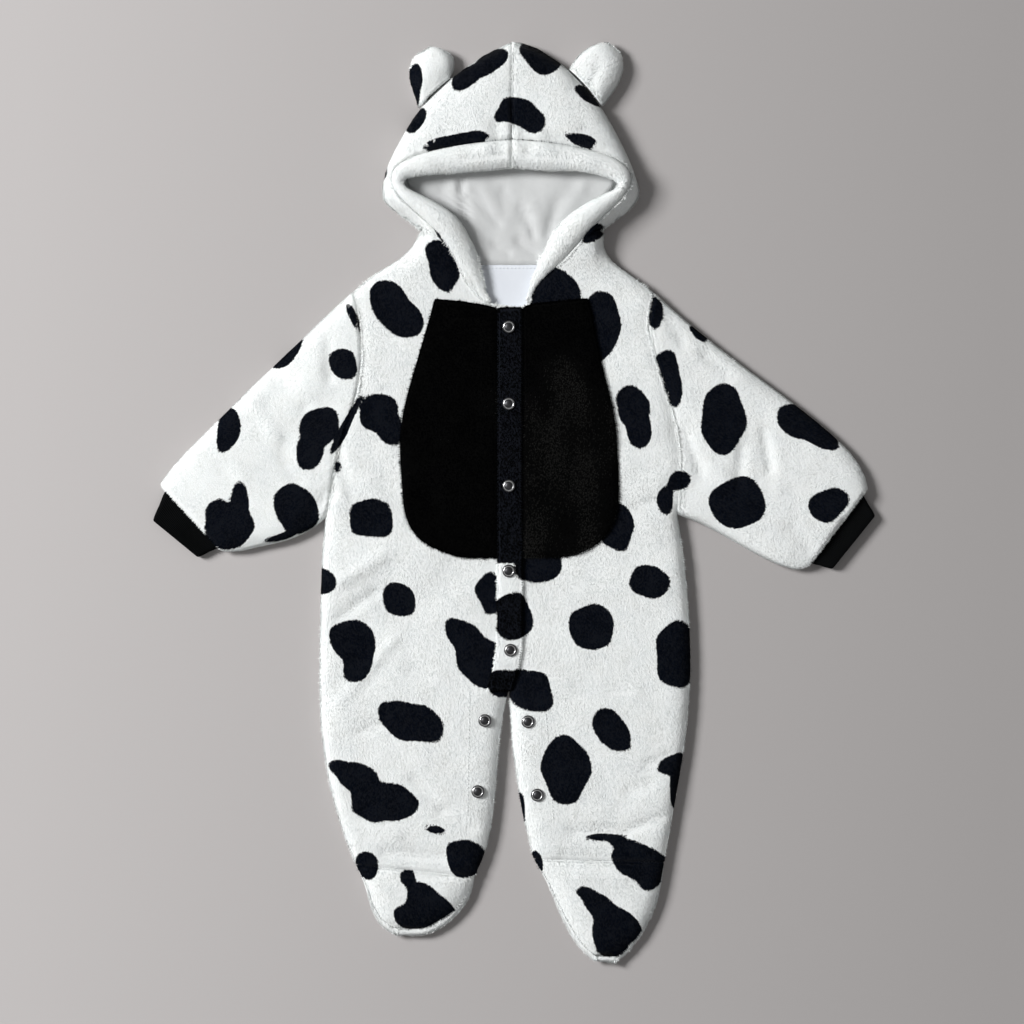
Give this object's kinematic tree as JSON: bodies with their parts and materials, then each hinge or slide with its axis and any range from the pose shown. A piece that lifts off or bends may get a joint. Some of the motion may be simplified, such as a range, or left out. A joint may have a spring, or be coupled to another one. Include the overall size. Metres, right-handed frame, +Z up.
{
  "type": "cow onesie",
  "caption": "Hooded footed baby onesie in spotted cow plush laid flat, with ears, black belly, rib cuffs and a snap placket.",
  "frame": {"origin": "middle of the garment's outline, on the surface that it lies on", "axes": "+Y from the feet to the top of the hood, +X to the wearer's left, +Z up from the surface"},
  "size_m": [0.622, 0.792, 0.0271],
  "materials": {
    "white_plush_spotted": "long soft plush, white with near-black spots",
    "white_plush": "long soft plush, white",
    "black_plush": "short soft plush, black",
    "black_rib": "knitted rib, black",
    "smooth_lining": "smooth knitted lining",
    "press_stud": "gunmetal with a bright ring"
  },
  "bodies": {
    "root": {"front_right": "white_plush_spotted", "front_left": "white_plush_spotted", "back_right": "white_plush_spotted", "back_left": "white_plush_spotted", "sleeve_right": "white_plush_spotted", "sleeve_left": "white_plush_spotted", "hood_right": "white_plush_spotted", "hood_left": "white_plush_spotted", "foot_upper_right": "white_plush_spotted", "foot_upper_left": "white_plush_spotted", "placket": "white_plush_spotted", "ear_front_right": "white_plush_spotted", "ear_front_left": "white_plush_spotted", "ear_back_right": "white_plush_spotted", "ear_back_left": "white_plush_spotted", "hood_band_right": "white_plush", "hood_band_left": "white_plush", "sole_right": "white_plush", "sole_left": "white_plush", "belly_right": "black_plush", "belly_left": "black_plush", "cuff_right": "black_rib", "cuff_left": "black_rib", "hood_lining": "smooth_lining", "neck_facing": "smooth_lining", "snap_1": "press_stud", "snap_2": "press_stud", "snap_3": "press_stud", "snap_4": "press_stud", "snap_5": "press_stud", "snap_leg_right_1": "press_stud", "snap_leg_right_2": "press_stud", "snap_leg_left_1": "press_stud", "snap_leg_left_2": "press_stud"}
  },
  "joints": []
}
